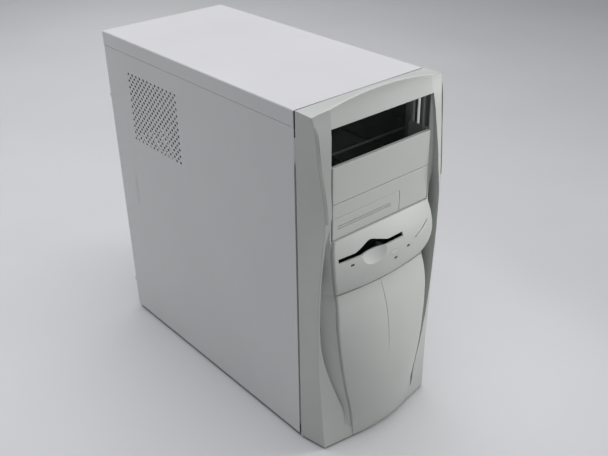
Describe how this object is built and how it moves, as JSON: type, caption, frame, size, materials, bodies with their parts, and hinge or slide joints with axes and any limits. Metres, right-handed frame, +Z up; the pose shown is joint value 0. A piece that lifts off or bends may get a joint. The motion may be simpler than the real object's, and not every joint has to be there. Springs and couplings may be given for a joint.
{
  "type": "desktop computer tower",
  "caption": "Upright computer case with a waisted, channelled front bezel, an open drive bay, a diskette slot, a crescent power key, a vented left side panel and a full set of inner parts.",
  "frame": {"origin": "on the floor under the middle of the whole tower, at the bottom centre of its bounding box", "axes": "+Z up, -Y to the front where the bezel is, +X to the right-hand side seen from the front"},
  "size_m": [0.1906, 0.45, 0.4419],
  "materials": {
    "bezel_plastic": "finely textured, pale warm grey-white",
    "key_plastic": "smooth, a little greyer than the bezel",
    "lamp_lens": "smoked, unlit",
    "painted_steel": "off-white baked paint with a fine texture",
    "bare_steel": "zinc-plated, dull",
    "bright_metal": "nickel-plated",
    "brass": "turned",
    "rubber": "matt",
    "drive_casting": "cast and machined",
    "processor_ceramic": "semi-gloss",
    "dark_plastic": "moulded",
    "red_plastic": "moulded",
    "pale_plastic": "moulded",
    "circuit_board": "solder-mask lacquer",
    "capacitor_can": "plain can",
    "port_metal": "plated shell",
    "cable_grey": "flat ribbon",
    "cable_dark": "sleeved"
  },
  "bodies": {
    "chassis": {"base_pan": "bare_steel", "bay_cover_lower": "bezel_plastic", "bay_cover_upper": "bezel_plastic", "bay_insert_small": "bezel_plastic", "board_capacitors": "capacitor_can", "board_chips_and_headers": "dark_plastic", "board_power_cable": "cable_dark", "board_standoffs": "brass", "card_bracket": "bare_steel", "case_screws": "bright_metal", "clock_battery": "capacitor_can", "control_panel": "bezel_plastic", "drive_cage_large": "bare_steel", "drive_cage_small": "bare_steel", "drive_ribbon_cable": "cable_grey", "expansion_sockets": "pale_plastic", "feet": "rubber", "floppy_drive": "bare_steel", "floppy_ribbon_cable": "cable_grey", "front_bezel": "bezel_plastic", "front_plate": "bare_steel", "front_switch_board": "circuit_board", "graphics_card": "circuit_board", "hard_drive": "drive_casting", "heatsink": "drive_casting", "lamp_lenses": "lamp_lens", "lower_front_panel": "bezel_plastic", "main_board": "circuit_board", "mains_inlet": "dark_plastic", "mains_switch_housing": "dark_plastic", "memory_modules": "circuit_board", "memory_sockets": "dark_plastic", "motherboard_tray": "bare_steel", "padlock_loop": "bright_metal", "port_shield": "bare_steel", "power_supply_board": "circuit_board", "power_supply_case": "bare_steel", "processor": "processor_ceramic", "processor_fan_frame": "dark_plastic", "processor_socket": "pale_plastic", "rear_panel": "bare_steel", "rear_ports": "port_metal", "slot_covers": "bare_steel", "speaker": "dark_plastic", "supply_fan_frame": "dark_plastic", "supply_fan_guard": "bright_metal", "top_cover": "painted_steel", "top_rails": "bare_steel", "voltage_selector_housing": "dark_plastic"},
    "left_panel": {"left_side_panel": "painted_steel", "left_thumbscrews": "bright_metal"},
    "right_panel": {"right_side_panel": "painted_steel", "right_thumbscrews": "bright_metal"},
    "power_key": {"power_button": "key_plastic"},
    "eject_key": {"floppy_eject_button": "key_plastic"},
    "supply_rotor": {"supply_fan_rotor": "dark_plastic"},
    "processor_rotor": {"processor_fan_rotor": "dark_plastic"},
    "mains_rocker": {"mains_switch_rocker": "dark_plastic"},
    "voltage_slider": {"voltage_selector_slider": "red_plastic"}
  },
  "joints": [
    {"name": "left_panel_slide", "type": "slide", "parent": "chassis", "child": "left_panel", "axis": [0, 1, 0], "range_m": [0, 0.02]},
    {"name": "right_panel_slide", "type": "slide", "parent": "chassis", "child": "right_panel", "axis": [0, 1, 0], "range_m": [0, 0.02]},
    {"name": "power_button_press", "type": "slide", "parent": "chassis", "child": "power_key", "axis": [0, 1, 0], "range_m": [0, 0.0025], "stiffness_N_per_m": 500, "springref_m": -0.001},
    {"name": "floppy_eject_press", "type": "slide", "parent": "chassis", "child": "eject_key", "axis": [0, 1, 0], "range_m": [0, 0.004], "stiffness_N_per_m": 300, "springref_m": -0.001},
    {"name": "supply_fan_spin", "type": "hinge", "parent": "chassis", "child": "supply_rotor", "pos_m": [-0.025, 0.2, 0.375], "axis": [0, 1, 0], "continuous": true},
    {"name": "processor_fan_spin", "type": "hinge", "parent": "chassis", "child": "processor_rotor", "pos_m": [0.027, 0.135, 0.236], "axis": [-1, 0, 0], "continuous": true},
    {"name": "mains_switch_rock", "type": "hinge", "parent": "chassis", "child": "mains_rocker", "pos_m": [0.056, 0.212, 0.377], "axis": [1, 0, 0], "range_deg": [0, 20]},
    {"name": "voltage_selector_slide", "type": "slide", "parent": "chassis", "child": "voltage_slider", "axis": [1, 0, 0], "range_m": [0, 0.006]}
  ]
}
